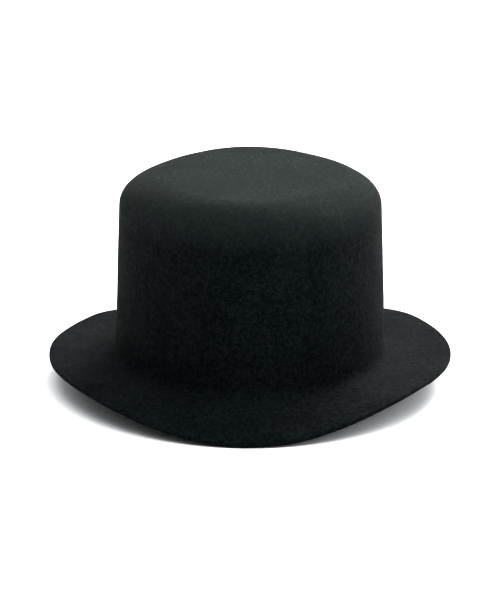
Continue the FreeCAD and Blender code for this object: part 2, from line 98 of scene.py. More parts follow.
WAIST_HEIGHT, WAIST_HALF_WIDTH = 100.0, 77.0  # where the side lining turns further in
LINING_FOOT, LINING_GAP, LINING = 46.0, 0.4, 0.3  # lower edge, gap to the felt, thickness
LINING_RADIUS = 88.0  # mean radius of the lining's oval
LINING_STITCHES, LINING_STITCH = 110, 2.5  # count and length
SATIN_SLACK = 0.0015  # how much larger than its oval the tip lining is cut
PIPING_HALF_WIDTH, PIPING_HEIGHT, PIPING_RADIUS = 66.3, 123.6, 0.9
THREAD = 0.28  # radius of the sewing thread
LAY = THREAD + 0.04  # a stitch's middle line above what it lies on


# ------------------------------------------------------------------ mesh helpers


def smooth(u):
    """Rises smoothly from 0 to 1 as u does, and stays there."""
    u = np.clip(u, 0.0, 1.0)
    return u * u * (3 - 2 * u)


def noise_at(points, scale, seed=0.0):
    """Smooth noise, about -1 to 1, at each point; scale is the size of its lumps."""
    flat = np.asarray(points, float).reshape(-1, 3) / scale + seed
    values = [noise.noise(Vector(p)) for p in flat]
    return np.array(values).reshape(np.asarray(points).shape[:-1])


def grid_normals(points, wrap_rows, wrap_columns):
    """Unit normals of a grid of points."""
    def step(axis, wrap):
        if wrap:
            return np.roll(points, -1, axis) - np.roll(points, 1, axis)
        return np.gradient(points, axis=axis)
    normals = np.cross(step(0, wrap_rows), step(1, wrap_columns))
    length = np.linalg.norm(normals, axis=-1, keepdims=True)
    return normals / np.maximum(length, 1e-9)


def surface(name, grids, wrap_rows=False, wrap_columns=True, fans=False):
    """A mesh over grids of points in millimetres. Fans close each first and last row round a middle point.

    Its UV map holds real lengths in metres: U along the rows, V across them.
    """
    vertices, faces, uvs = [], [], []
    for points in grids:
        points = np.asarray(points, float)
        rows, columns = points.shape[:2]
        first = len(vertices)
        r = np.arange(rows if wrap_rows else rows - 1)
        c = np.arange(columns if wrap_columns else columns - 1)
        r, c = (a.ravel() for a in np.meshgrid(r, c, indexing="ij"))
        r_next, c_next = (r + 1) % rows, (c + 1) % columns
        quads = np.stack([r * columns + c, r * columns + c_next, r_next * columns + c_next,
                          r_next * columns + c], 1)
        along = np.linalg.norm(np.roll(points, -1, 1) - points, axis=-1).mean(0)
        across = np.linalg.norm(np.roll(points, -1, 0) - points, axis=-1).mean(1)
        u = np.concatenate([[0], np.cumsum(along)]) * MM
        v = np.concatenate([[0], np.cumsum(across)]) * MM
        uv = np.stack([np.stack([u[c], v[r]], 1), np.stack([u[c + 1], v[r]], 1),
                       np.stack([u[c + 1], v[r + 1]], 1), np.stack([u[c], v[r + 1]], 1)], 1)
        vertices += (points.reshape(-1, 3) * MM).tolist()
        faces += (quads + first).tolist()
        uvs += uv.reshape(-1, 2).tolist()
        for row in (0, rows - 1) if fans else ():
            middle = len(vertices)
            vertices.append((points[row].mean(0) * MM).tolist())
            for i in range(columns):
                edge = [first + row * columns + i, first + row * columns + (i + 1) % columns]
                faces.append([middle] + (edge if row else edge[::-1]))
                uvs += [[u[i], v[row]]] * 3
    mesh = bpy.data.meshes.new(name)
    mesh.from_pydata(vertices, [], faces)
    mesh.uv_layers.new(name="UVMap").data.foreach_set("uv", np.array(uvs).ravel())
    mesh.polygons.foreach_set("use_smooth", [True] * len(mesh.polygons))
    shell = bmesh.new()
    shell.from_mesh(mesh)
    bmesh.ops.recalc_face_normals(shell, faces=shell.faces)
    shell.to_mesh(mesh)
    shell.free()
    piece = bpy.data.objects.new(name, mesh)
    bpy.context.scene.collection.objects.link(piece)
    return piece


def finish_piece(piece, material, nodes, body=HAT):
    """Material, the CAD nodes it stands for, and the body it rides on."""
    piece.data.materials.append(material)
    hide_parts(*nodes)
    if body:
        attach(piece, body)
    return piece


# ------------------------------------------------------------------ material helpers


class Shader:
    """A principled material with a short way to add nodes."""

    def __init__(self, name, **sockets):
        self.material = bpy.data.materials.new(name)
        self.material.use_nodes = True
        self.tree = self.material.node_tree
        self.bsdf = self.tree.nodes["Principled BSDF"]
        for socket, value in sockets.items():
            self.bsdf.inputs[socket.replace("_", " ")].default_value = value

    def node(self, kind, settings=None, **inputs):
        """Adds a node. Inputs go by name, or as i0, i1 and so on, and take a socket or a value."""
        made = self.tree.nodes.new("ShaderNode" + kind)
        for key, value in (settings or {}).items():
            setattr(made, key, value)
        for key, value in inputs.items():
            socket = made.inputs[int(key[1:])] if key[1:].isdigit() else made.inputs[key.replace("_", " ")]
            if isinstance(value, bpy.types.NodeSocket):
                self.tree.links.new(value, socket)
            else:
                socket.default_value = value
        return made

    def math(self, operation, a, b=0.0, c=0.0):
        return self.node("Math", {"operation": operation}, i0=a, i1=b, i2=c).outputs[0]

    def place(self, source="Object", stretch=(1, 1, 1)):
        """Coordinates in millimetres (or UV lengths in millimetres), stretched."""
        coordinates = self.node("TexCoord").outputs[source]
        size = [1000 * s for s in stretch]
        return self.node("Mapping", Vector=coordinates, Scale=size).outputs[0]

    def noise(self, place, size, detail=2.0, distortion=0.0, roughness=0.5):
        made = self.node("TexNoise", Vector=place, Scale=1 / size, Detail=detail,
                         Distortion=distortion, Roughness=roughness)
        return made.outputs["Fac"]

    def spread(self, value, low, high, to_low=0.0, to_high=1.0):
        """Maps low to high onto to_low to to_high, clamped."""
        made = self.node("MapRange", {"clamp": True}, i0=value, i1=low, i2=high, i3=to_low, i4=to_high)
        return made.outputs[0]

    def strands(self, place, size, thickness, distortion):
        """Thin curly lines, 1 on a strand and 0 between."""
        value = self.noise(place, size, detail=1.0, distortion=distortion)
        return self.spread(self.math("ABSOLUTE", self.math("SUBTRACT", value, 0.5)), 0.0, thickness, 1, 0)

    def weave(self, place, warp, weft):
        """A plain weave's over-and-under, -1 to 1, from threads of these widths."""
        split = self.node("SeparateXYZ", Vector=place)
        wave = [self.math("SINE", self.math("MULTIPLY", split.outputs[i], math.pi / width))
                for i, width in enumerate((warp, weft))]
        return self.math("MULTIPLY", *wave)

    def total(self, *terms):
        """A weighted sum: pairs of a value and its weight."""
        result = 0.0
        for value, weight in terms:
            result = self.math("MULTIPLY_ADD", value, weight, result)
        return result

    def colours(self, factor, dark, light):
        made = self.node("Mix", {"data_type": "RGBA"}, i0=factor, i6=(*dark, 1), i7=(*light, 1))
        self.tree.links.new(made.outputs[2], self.bsdf.inputs["Base Color"])

    def roughness(self, value):
        self.tree.links.new(value, self.bsdf.inputs["Roughness"])

    def bump(self, height, depth, strength=1.0):
        made = self.node("Bump", Height=height, Distance=depth * MM, Strength=strength)
        self.tree.links.new(made.outputs[0], self.bsdf.inputs["Normal"])


# ------------------------------------------------------------------ the felt

# The paler felt colour is reached both through the felt's random grain and through painted light on the
# tip.
FELT_DARK, FELT_LIGHT = (0.0, 0.0004, 0.0007), (0.0120, 0.0155, 0.0144)
COLUMNS = 384
TURNS = np.arange(COLUMNS) / COLUMNS * TAU
# How the brim was shaped by hand: turn in degrees, spread in degrees, lift of the edge.
BRIM_LIFTS = ((140, 24, 1.6), (296, 16, -1.4), (48, 16, 1.2), (312, 10, 0.8))


def felt_material():
    """Black blocked wool: matt, grainy, with short matted fibres, and painted light that makes the tip
    paler.
    """
    felt = Shader("black_wool_felt", Roughness=1.0, Specular_IOR_Level=0.030,
                  Specular_Tint=(0.74, 1.0, 0.99, 1), Sheen_Weight=0.3,
                  Sheen_Roughness=0.3, Sheen_Tint=(0.010, 0.011, 0.010, 1))
    place = felt.place()
    cloud = felt.noise(place, 30, detail=2)
    patch = felt.noise(place, 2.6, detail=3)
    grain = felt.noise(place, 0.95, detail=3, roughness=0.65)
    speck = felt.noise(place, 0.45, detail=1)
    long_fibres = felt.strands(place, 2.4, 0.022, 1.6)
    short_fibres = felt.strands(place, 1.1, 0.034, 2.2)
    fibres = felt.math("MAXIMUM", long_fibres, felt.math("MULTIPLY", short_fibres, 0.7))
    tone = felt.total((cloud, 0.3), (patch, 0.7), (grain, 0.8), (speck, 0.7), (fibres, 0.3))
    height = felt.node("SeparateXYZ", Vector=place).outputs[2]
    # Painted light: the colour grows paler over the top of the crown, towards the tip, in place of the
    # light that falls there. The same mask lowers the roughness a little.
    painted_tip_light = felt.spread(height, TOTAL_HEIGHT - 30, TOTAL_HEIGHT - 8)
    # The colour mixes the felt's random grain tone with that painted light on the tip.
    nap = felt.total((felt.spread(tone, 1.15, 1.60), 0.45), (painted_tip_light, 0.50))
    felt.colours(nap, FELT_DARK, FELT_LIGHT)
    felt.bump(felt.total((grain, 0.9), (speck, 0.35), (fibres, 0.45), (patch, 0.6)), 0.5, 0.9)
    worn = felt.total((painted_tip_light, -0.02), (grain, -0.75), (speck, -0.5), (patch, -0.45), (cloud, -0.15))
    felt.roughness(felt.math("ADD", worn, 1.89))
    return felt.material


def oval(half_width, half_length, height, hollow=0.0):
    """One ring of points; height is a number, one for each column, or a function of y."""
    pull = 1 - hollow * np.sin(2 * TURNS) ** 2
    x = half_width * np.sin(TURNS) * pull
    y = half_length * np.cos(TURNS) * pull
    z = height(y) if callable(height) else np.broadcast_to(height, COLUMNS)
    return np.stack([x, y, z], 1)


def wall_half_width(height):
    """Of the crown's outer skin."""
    return CROWN_HALF_WIDTH - WALL_LEAN * (height - CROWN_FOOT)


def underside(y):
    """Height of the brim's underside, which dips towards the front and the back."""
    beyond = np.clip((np.abs(y) - BEND_START) / (BRIM_HALF_LENGTH - BEND_START), 0, None)
    return BRIM_SIDE_HEIGHT * (1 - beyond ** BEND_POWER)


def brim_top(y):
    """Height of the brim's top, one thickness of felt above the underside, square to it."""
    step = 0.05
    slope = (underside(y + step) - underside(y - step)) / (2 * step)
    return underside(y) + FELT * np.sqrt(1 + slope * slope)


def tip_rise(share):
    """The tip's gentle dome, from its middle (0) to the start of the shoulder (1)."""
    return TIP_DOME * (1 - share ** 2) - TIP_SINK


def crown_rings(inward):
    """From the middle of the tip down to the crown's foot, a distance inside the outer skin."""
    front = smooth(-1.5 * np.cos(TURNS))
    drop = SHOULDER_DROP + FRONT_DEEPER * front
    centre = TOTAL_HEIGHT - drop
    half_width = wall_half_width(centre)
    half_length = half_width + OVAL_DIFFERENCE
    end = SHOULDER_END + FRONT_WIDER * front
    power = 2 / (SHOULDER_POWER - FRONT_SOFTER * front)
    rings = []
    for share in np.linspace(0.012, 1, 40, endpoint=False):
        height = TOTAL_HEIGHT - inward + tip_rise(share)
        tip_width, tip_length = half_width - SHOULDER_SIDE, half_length - end
        rings.append(oval(tip_width * share, tip_length * share, height, DIAGONAL_HOLLOW))
    for angle in np.linspace(math.pi / 2, 0, 44):
        out = max(math.cos(angle), 0) ** power
        up = math.sin(angle) ** power
        across = SHOULDER_SIDE - (SHOULDER_SIDE - inward) * out
        along = end - (end - inward) * out
        height = centre + (drop - inward) * up + tip_rise(1) * up
        rings.append(oval(half_width - across, half_length - along, height, DIAGONAL_HOLLOW))
    foot = CROWN_FOOT + 2 * BREAK_RADIUS + FELT
    for height in np.linspace(centre, np.full(COLUMNS, foot), 54)[1:]:
        hollow = DIAGONAL_HOLLOW * smooth((height - HOLLOW_START) / (centre - HOLLOW_START))
        width = wall_half_width(height) - inward
        rings.append(oval(width, width + OVAL_DIFFERENCE, height, hollow))
    return rings


def brim_rings(inward, skin):
    """From the break out towards the brim's edge."""
    radius = BREAK_RADIUS + inward
    lift = BREAK_RADIUS + (FELT if inward else 0)
    rings = []
    for angle in np.linspace(0, math.pi / 2, 12):
        width = CROWN_HALF_WIDTH + BREAK_RADIUS - radius * math.cos(angle)
        rise = lift - radius * math.sin(angle)
        rings.append(oval(width, width + OVAL_DIFFERENCE, lambda y: skin(y) + rise))
    inner_width = CROWN_HALF_WIDTH + BREAK_RADIUS
    inner_length = inner_width + OVAL_DIFFERENCE
    for share in np.linspace(0, 1, 34)[1:-1]:
        width = inner_width + (BRIM_HALF_WIDTH - EDGE_RADIUS - inner_width) * share
        length = inner_length + (BRIM_HALF_LENGTH - EDGE_RADIUS - inner_length) * share
        rings.append(oval(width, length, skin))
    return rings


def edge_rings():
    """Round the raw-cut edge, from the brim's top to its underside."""
    rings = []
    quarters = ((brim_top, np.linspace(90, 0, 6), 1), (underside, np.linspace(0, -90, 6), -1))
    for skin, angles, side in quarters:
        for angle in np.radians(angles):
            back = EDGE_RADIUS * (1 - math.cos(angle))
            drop = EDGE_RADIUS * (1 - abs(math.sin(angle))) * side
            rings.append(oval(BRIM_HALF_WIDTH - back, BRIM_HALF_LENGTH - back, lambda y: skin(y) - drop))
    return rings


def with_the_wall(points):
    """Follows the slight unevenness of the crown's wall, which every piece inside it shares."""
    on_crown = smooth((points[..., 2] - CROWN_FOOT - 2 * BREAK_RADIUS) / 30)
    uneven = 0.45 * noise_at(points * (1, 1, 0.5), 55, 3.1) + 0.16 * noise_at(points, 17, 8.7)
    uneven += SIDE_SWELL * smooth(points[..., 0] / CROWN_HALF_WIDTH)
    swell = 1 + on_crown * uneven / CROWN_HALF_WIDTH
    return points * np.stack([swell, swell, np.ones_like(swell)], -1)


def shaped_by_hand(points):
    """Small departures from the block's exact form, the same for outside and inside."""
    x, y, z = points[..., 0], points[..., 1], points[..., 2]
    reach = np.sqrt((x / BRIM_HALF_WIDTH) ** 2 + (y / BRIM_HALF_LENGTH) ** 2)
    start = (CROWN_HALF_WIDTH + BREAK_RADIUS) / BRIM_HALF_WIDTH
    on_brim = smooth((reach - start) / (1 - start)) * (z < 2 * BREAK_RADIUS + CROWN_FOOT)
    turn = np.degrees(np.arctan2(x / BRIM_HALF_WIDTH, y / BRIM_HALF_LENGTH)) % 360
    lift = sum(amount * np.exp(-(((turn - at + 180) % 360 - 180) / width) ** 2)
               for at, width, amount in BRIM_LIFTS)
    broad = noise_at(points, 55, 3.1)
    small = noise_at(points, 17, 8.7)
    shaped = with_the_wall(points)
    on_tip = smooth((z - (TOTAL_HEIGHT - 14)) / 12)
    shaped[..., 2] += on_brim * (lift + 0.25 * small) + on_tip * (0.35 * broad + 0.12 * small)
    above_floor = np.maximum(shaped[..., 2], z * 0.15)
    shaped[..., 2] = np.where(z < 12, above_floor, shaped[..., 2])
    return shaped


def felt_hat():
    """Crown and brim, blocked from one piece of felt, with a faint nap."""
    outside = crown_rings(0) + brim_rings(0, brim_top)
    inside = crown_rings(FELT) + brim_rings(FELT, underside)
    points = np.array(outside + edge_rings() + inside[::-1])
    points = shaped_by_hand(points)
    nap = 0.05 * noise_at(points, 3.2, 1.7) + 0.035 * noise_at(points, 1.5, 5.2)
    normals = grid_normals(points, False, True)
    points = points + normals * nap[..., None]
    points[..., 2] = np.maximum(points[..., 2], 0.0)
    hat = surface("felt_crown_and_brim", [points], fans=True)
    return finish_piece(hat, felt_material(), ["felt_body"])


felt_hat()

# ------------------------------------------------------------------ shared by the pieces inside the crown


def on_oval(half_width, turn, height):
    """Points of the crown's ovals; each argument is a number or an array."""
    half_width, turn, height = np.broadcast_arrays(half_width, turn, height)
    x, y = half_width * np.sin(turn), (half_width + OVAL_DIFFERENCE) * np.cos(turn)
    return np.stack([x, y, height], -1)


def inner_wall(height, gap):
    """Half-width of the oval a gap inside the felt's inner wall."""
    return wall_half_width(height) - FELT - gap


def round_the_oval(count):
    """Evenly spaced turns."""
    return np.arange(count) / count * TAU


def strip_section(thickness, path):
    """The closed outline of a strip of this thickness whose middle line is a path of 2-D points."""
    path = np.asarray(path, float)
    run = np.gradient(path, axis=0)
    run /= np.linalg.norm(run, axis=1, keepdims=True)
    aside = np.stack([-run[:, 1], run[:, 0]], 1) * thickness / 2
    return np.concatenate([path + aside, (path - aside)[::-1]])


def twisted(path, radius=THREAD, pitch=1.7):
    """A two-ply thread round a path: its outline turns as it goes."""
    run = np.gradient(path, axis=0)
    run /= np.linalg.norm(run, axis=1, keepdims=True)
    side = np.cross(run, (0.31, 0.17, 0.94))
    side /= np.linalg.norm(side, axis=1, keepdims=True)
    up = np.cross(side, run)
    gone = np.concatenate([[0], np.cumsum(np.linalg.norm(np.diff(path, axis=0), axis=1))])
    angle = np.arange(10) / 10 * TAU
    twist = gone[:, None] / pitch * math.pi
    reach = radius * (0.74 + 0.26 * np.abs(np.cos(angle - twist)))
    return (path[:, None] + side[:, None] * (reach * np.cos(angle))[..., None]
            + up[:, None] * (reach * np.sin(angle))[..., None])


def stitches(name, ends, place, material, nodes, lift=LAY, over=()):
    """Stitches that dive into what they are sewn to. Each of ends is (turn, height) twice.

    over holds the numbers of the stitches that cross over another one.
    """
    share = np.linspace(0, 1, 13)
    grids = []
    for i, (first, last) in enumerate(ends):
        turn, height = (first[k] + (last[k] - first[k]) * share for k in (0, 1))
        rise = lift - (lift + 1.6 * THREAD) * np.abs(2 * share - 1) ** 7
        if i in over:
            rise = rise + 2 * THREAD * np.exp(-((share - 0.5) / 0.2) ** 2)
        grids.append(twisted(place(turn, height, rise)))
    return finish_piece(surface(name, grids, fans=True), material, nodes)


def thread_material(name, colour):
    thread = Shader(name, Roughness=0.6, Sheen_Weight=0.3, Sheen_Roughness=0.4)
    hairs = thread.noise(thread.place(), 0.12, detail=3)
    thread.colours(thread.spread(hairs, 0.3, 0.7), [0.6 * c for c in colour], colour)
    thread.bump(hairs, 0.05)
    return thread.material


# ------------------------------------------------------------------ the sweatband

ZIGZAGS = 132  # stitches of the zigzag, which the leather's columns and the reed tape's puckers follow
LEATHER_WAVES = ((5, 1.0, 0.5), (11, 2.3, 0.3), (23, 4.1, 0.2))  # count round the oval, phase, share
LEATHER_SWELL = 0.8  # how far the leather's top stands off, at most
CREASE_BELOW_TOP = 3.0
JOINT_HALF_GAP = 0.00204  # half the gap between the leather's two ends, as an angle
ZIGZAG_FOOT, ZIGZAG_HEAD = LEATHER_FOOT + 0.7, LEATHER_FOOT + 2.9
CROSSES, CROSS_FOOT, CROSS_HEAD = 11, 38.0, LEATHER_TOP - 3.0  # the crossed stitches that close the joint
CROSS_HALF_WIDTH = 0.01856  # as an angle
SEWING_STITCHES, SEWING_HEIGHT, SEWING_STITCH = 76, LEATHER_FOOT + 2.4, 3.2  # they hold it to the felt


def leather_face(turn, height, lift):
    """Points a lift above the leather's inner face, which stands off a little unevenly near its top."""
    turn, height, lift = np.broadcast_arrays(turn, height, lift)
    rise = (height - LEATHER_FOOT) / (LEATHER_TOP - LEATHER_FOOT)
    wave = sum(share * (0.5 + 0.5 * np.sin(count * turn + phase)) for count, phase, share in LEATHER_WAVES)
    away_from_joint = 1 - np.exp(-(np.sin(turn / 2) / 0.12) ** 2)
    swell = LEATHER_SWELL * wave * smooth(rise) * away_from_joint
    return with_the_wall(on_oval(inner_wall(height, LEATHER_GAP + LEATHER + swell + lift), turn, height))


def zigzag_ends():
    """The holes that each zigzag stitch joins: odd ones go up, even ones down."""
    half_pitch = math.pi / ZIGZAGS
    ends = []
    for i in range(ZIGZAGS):
        middle = (2 * i + 1) * half_pitch
        heights = (ZIGZAG_FOOT, ZIGZAG_HEAD) if i % 2 else (ZIGZAG_HEAD, ZIGZAG_FOOT)
        ends.append(((middle - 0.95 * half_pitch, heights[0]), (middle + 0.95 * half_pitch, heights[1])))
    return ends


def leather_material():
    """Vegetable-tanned sheepskin: fine pebbles, pores, a little polish on the high spots."""
    leather = Shader("brown_sweatband_leather", Roughness=0.5, Specular_IOR_Level=0.45,
                     Coat_Weight=0.06, Coat_Roughness=0.4)
    place = leather.place()
    cells = leather.node("TexVoronoi", {"feature": "DISTANCE_TO_EDGE"}, Vector=place, Scale=1 / 0.75)
    pebbles = leather.spread(cells.outputs["Distance"], 0.0, 0.16)
    fine = leather.noise(place, 0.35, detail=4)
    pores = leather.spread(leather.noise(place, 0.9, detail=1), 0.30, 0.42)
    blotch = leather.noise(place, 26, detail=3)
    height = leather.total((pebbles, 0.7), (fine, 0.4), (pores, 0.5))
    tone = leather.total((blotch, 0.6), (pebbles, 0.18), (fine, 0.2), (pores, 0.1))
    leather.colours(leather.spread(tone, 0.25, 0.85), (0.050, 0.024, 0.012), (0.150, 0.078, 0.042))
    leather.roughness(leather.spread(tone, 0.2, 0.9, 0.62, 0.40))
    leather.bump(height, 0.09, 0.8)
    return leather.material


def sweatband():
    """The leather strip: rounded edges, a pressed line below its top, holes pulled in by the zigzag."""
    stations = np.linspace(JOINT_HALF_GAP, TAU - JOINT_HALF_GAP, 5 * ZIGZAGS + 1)
    heights = np.concatenate([
        np.linspace(LEATHER_FOOT, LEATHER_FOOT + 4, 12)[:-1],
        np.linspace(LEATHER_FOOT + 4, LEATHER_TOP - 4.4, 22)[:-1],
        np.linspace(LEATHER_TOP - 4.4, LEATHER_TOP, 16),
    ])
    from_edge = np.minimum(heights - LEATHER_FOOT, LEATHER_TOP - heights)
    rounding = 0.3 * (1 - np.clip(from_edge / 0.45, 0, 1)) ** 2
    crease = 0.16 * np.exp(-((heights - LEATHER_TOP + CREASE_BELOW_TOP) / 0.28) ** 2)
    front = np.broadcast_to(-rounding - crease, (len(stations), len(heights))).copy()
    for first, last in zigzag_ends():
        for turn, height in (first, last):
            near = np.abs(stations - turn) * LEATHER_RADIUS < 2.5
            distance = ((stations[near, None] - turn) * LEATHER_RADIUS) ** 2 + (heights - height) ** 2
            front[near] -= 0.14 * np.exp(-distance / 0.5 ** 2)
    back = np.broadcast_to(rounding - LEATHER, front.shape)
    turn = stations[:, None]
    faces = leather_face(turn, heights, front), leather_face(turn, heights, back)[:, ::-1]
    points = np.concatenate(faces, 1)
    piece = surface("sweatband_leather_strip", [points], fans=True)
    finish_piece(piece, leather_material(), ["sweatband_leather"])


def tape_material(name, dark, light, warp, weft):
    """Cotton or viscose tape in a plain weave."""
    tape = Shader(name, Roughness=0.8, Specular_IOR_Level=0.3, Sheen_Weight=0.25, Sheen_Roughness=0.5)
    place = tape.place(source="UV")
    weave = tape.weave(place, warp, weft)
    uneven = tape.noise(tape.place(), 1.4, detail=3)
    tape.colours(tape.spread(tape.total((weave, 0.25), (uneven, 1.0)), 0.2, 0.8), dark, light)
    tape.bump(tape.total((weave, 0.5), (uneven, 0.3)), 0.07)
    return tape.material


def backing_tape():
    """The woven tape glued behind the leather's joint."""
    foot, head, half_width = 28.0, LEATHER_TOP - 1.5, 7
    half = (head - foot) / 2
    section = strip_section(0.3, [(0, half * share) for share in np.linspace(-1, 1, 30)])
    x = np.linspace(-half_width, half_width, 29)
    lift, height = section[:, 0] - LEATHER - 0.21, section[:, 1] + foot + half
    turn = np.arcsin(x / TAPE_RADIUS)[:, None]
    at_end = np.abs(section[:, 1]) > half - 0.1
    ragged = 0.12 * noise_at(np.stack([x, x * 0, x * 0], 1), 0.8)[:, None] * at_end
    points = leather_face(turn, height + ragged, lift)
    piece = surface("joint_backing_tape_strip", [points], fans=True)
    material = tape_material("joint_tape_cotton", (0.055, 0.045, 0.035), (0.13, 0.11, 0.09), 0.35, 0.35)
    finish_piece(piece, material, ["joint_backing_tape"])


def reed_tape():
    """The tape folded round the reed, its two edges together behind the leather."""
    radius = 1.1
    centre = LEATHER_GAP + LEATHER / 2
    start, end = math.radians(120), math.radians(131 - 360)
    angles = np.linspace(start, end, 40)
    curl = [(centre + radius * math.cos(a), REED_MIDDLE + radius * math.sin(a)) for a in angles]
    head = LEATHER_FOOT + 5.4
    down = [(curl[0][0], z) for z in np.linspace(head, curl[0][1], 12)[:-1]]
    up = [(curl[-1][0], z) for z in np.linspace(curl[-1][1], head, 12)[1:]]
    section = strip_section(TAPE, down + curl + up)
    turn = round_the_oval(480)[:, None]
    pucker = 0.05 * np.sin(ZIGZAGS * turn) * np.ones(len(section))
    points = with_the_wall(on_oval(inner_wall(section[:, 1], section[:, 0] + pucker), turn, section[:, 1]))
    piece = surface("reed_tape_strip", [points.transpose(1, 0, 2)], wrap_rows=True)
    material = tape_material("reed_tape_viscose", (0.020, 0.016, 0.013), (0.060, 0.048, 0.038), 0.4, 0.3)
    finish_piece(piece, material, ["reed_tape"])


def reed_plastic():
    """A better finish for the CAD reed."""
    plastic = Shader("reed_milky_plastic", Roughness=0.35, Subsurface_Weight=0.3, Subsurface_Scale=0.001)
    flow = plastic.noise(plastic.place(stretch=(0.3, 0.3, 1)), 0.8, detail=3)
    plastic.colours(flow, (0.62, 0.61, 0.57), (0.78, 0.77, 0.73))
    plastic.bump(flow, 0.02)
    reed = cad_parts["sweatband_reed"]
    reed.data.materials.clear()
    reed.data.materials.append(plastic.material)


def sewing():
    """The three rows of thread in the sweatband."""
    brown = thread_material("brown_thread", (0.11, 0.066, 0.038))
    black = thread_material("black_thread", (0.020, 0.021, 0.022))
    stitches("zigzag_thread", zigzag_ends(), leather_face, brown, ["reed_zigzag_stitching"])
    crosses = []
    pitch = (CROSS_HEAD - CROSS_FOOT) / CROSSES
    for i in range(CROSSES):
        foot, head = CROSS_FOOT + i * pitch, CROSS_FOOT + (i + 0.8) * pitch
        side = CROSS_HALF_WIDTH
        crosses += [((side, foot), (-side, head)), ((-side, foot), (side, head))]
    stitches("joint_cross_thread", crosses, leather_face, brown, ["joint_cross_stitching"],
             over=range(1, len(crosses), 2))
    half = SEWING_STITCH / 2 / (inner_wall(SEWING_HEIGHT, 0) + OVAL_DIFFERENCE / 2)
    rows = [((turn - half, SEWING_HEIGHT), (turn + half, SEWING_HEIGHT))
            for turn in round_the_oval(SEWING_STITCHES) + math.pi / SEWING_STITCHES]

    def tape_face(turn, height, lift):
        return with_the_wall(on_oval(inner_wall(height, TAPE_GAP - lift), turn, height))

    stitches("sewing_in_thread", rows, tape_face, black, ["sewing_in_stitches"], lift=0.5)


sweatband()
backing_tape()
reed_tape()
reed_plastic()
sewing()

# ------------------------------------------------------------------ the satin lining


def side_half_width(height):
    """Half-width of the side lining: along the wall, then in to the seam."""
    heights = [LINING_FOOT, LEATHER_TOP + 1, WAIST_HEIGHT, SEAM_HEIGHT]
    widths = [inner_wall(LINING_FOOT, LINING_GAP), inner_wall(LEATHER_TOP + 1, LINING_GAP),
              WAIST_HALF_WIDTH, SEAM_HALF_WIDTH]
    return np.mean([np.interp(height + step, heights, widths) for step in (-5, -2.5, 0, 2.5, 5)], 0)


def satin_material(name, dark, light, source="UV"):
    """Satin: long smooth floats over a fine weave, with a soft directional shine."""
    satin = Shader(name, Roughness=0.36, Specular_IOR_Level=0.5, Anisotropic=0.5, Sheen_Weight=0.2,
                   Sheen_Roughness=0.3)
    floats = satin.noise(satin.place(source=source, stretch=(1, 0.07, 1)), 0.16, detail=2)
    weave = satin.weave(satin.place(source=source), 0.14, 0.7)
    cloud = satin.noise(satin.place(), 18, detail=2)
    tone = satin.total((floats, 0.5), (cloud, 0.6), (weave, 0.05))
    satin.colours(satin.spread(tone, 0.3, 0.8), dark, light)
    satin.roughness(satin.spread(floats, 0.3, 0.7, 0.30, 0.44))
    satin.bump(satin.total((floats, 0.6), (weave, 0.25)), 0.05, 0.7)
    return satin.material


def lining_face(turn, height, lift):
    """Points a lift above the side lining's inner face, with its gathers, folds and lap seam."""
    turn, height, lift = np.broadcast_arrays(turn, height, lift)
    below_seam = SEAM_HEIGHT - height
    shift = 2.2 * noise_at(np.stack([60 * np.sin(turn), 70 * np.cos(turn), height * 0.15], -1), 9, 2.2)
    gathers = 0.34 * np.exp(-below_seam / 8) * (1 - np.exp(-below_seam / 1.2)) * np.sin(88 * turn + shift)
    free = smooth((height - LEATHER_TOP - 3) / 16) * smooth(below_seam / 14)
    folds = noise_at(np.stack([78 * np.sin(turn), 92 * np.cos(turn), height * 0.22], -1), 11, 6.4)
    folds += 0.5 * noise_at(np.stack([78 * np.sin(turn), 92 * np.cos(turn), height * 0.5], -1), 5, 1.4)
    slack = 0.75 * free * folds + 0.5 * free
    from_lap = np.abs(np.sin(turn / 2)) * 2 * LINING_RADIUS
    lap = 0.3 * smooth((4.0 - from_lap) / 0.6) * smooth((height - LEATHER_TOP + 4) / 6)
    half = side_half_width(height) - LINING - lift - gathers - slack - lap
    return with_the_wall(on_oval(half, turn, height))


def side_lining(satin):
    """The strip inside the crown, gathered into the seam."""
    heights = np.concatenate([np.linspace(LINING_FOOT, 72, 12)[:-1], np.linspace(72, SEAM_HEIGHT, 46)])
    turn = round_the_oval(900)
    grid = [lining_face(turn, height[:, None], lift) for height, lift in
            ((heights, 0.0), (heights[::-1], -LINING))]
    piece = surface("side_lining_satin", [np.concatenate(grid)], wrap_rows=True)
    finish_piece(piece, satin, ["lining_side"])


